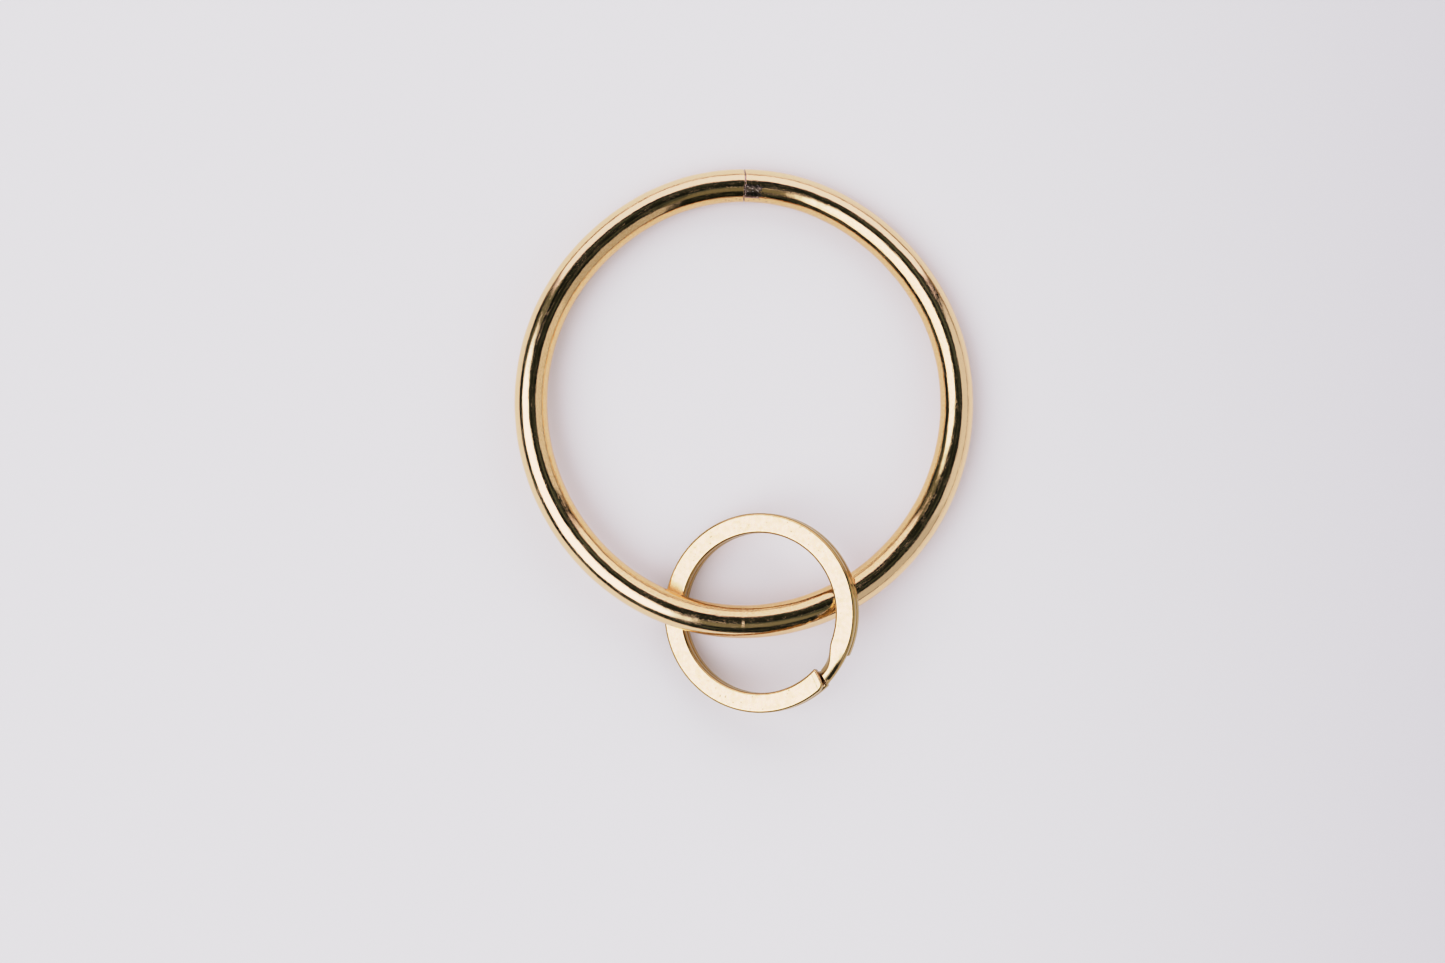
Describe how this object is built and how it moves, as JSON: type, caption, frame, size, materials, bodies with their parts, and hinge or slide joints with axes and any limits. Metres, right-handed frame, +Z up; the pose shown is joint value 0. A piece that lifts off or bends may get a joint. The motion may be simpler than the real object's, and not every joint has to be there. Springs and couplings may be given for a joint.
{
  "type": "split key ring",
  "caption": "Flat split key ring linked through a large closed round-bar ring, both in brass, lying as on a table.",
  "frame": {"origin": "on the table, under the middle of the pair's box", "axes": "+Z up from the table, +Y from the split ring towards the large ring's brazed seam"},
  "size_m": [0.0692, 0.082, 0.0119],
  "materials": {
    "polished_brass": "polished",
    "satin_brass": "satin",
    "braze_filler": "rough"
  },
  "bodies": {
    "large_ring": {"large_ring_bar": "polished_brass", "large_ring_braze": "braze_filler"},
    "split_ring": {"split_ring_coil": "satin_brass"},
    "split_ring_front_end": {"split_ring_free_end": "satin_brass"}
  },
  "joints": [
    {"name": "split_ring_turnover", "type": "hinge", "parent": "large_ring", "child": "split_ring", "pos_m": [0.00256, -0.02601, 0.00598], "axis": [0.0806, -0.9954, 0.0519], "range_deg": [0, 141.5]},
    {"name": "front_end_spread", "type": "hinge", "parent": "split_ring", "child": "split_ring_front_end", "pos_m": [-0.01034, -0.03251, 0.00195], "axis": [0.4057, -0.9006, 0.1558], "range_deg": [0, 8], "stiffness_Nm_per_rad": 1}
  ]
}
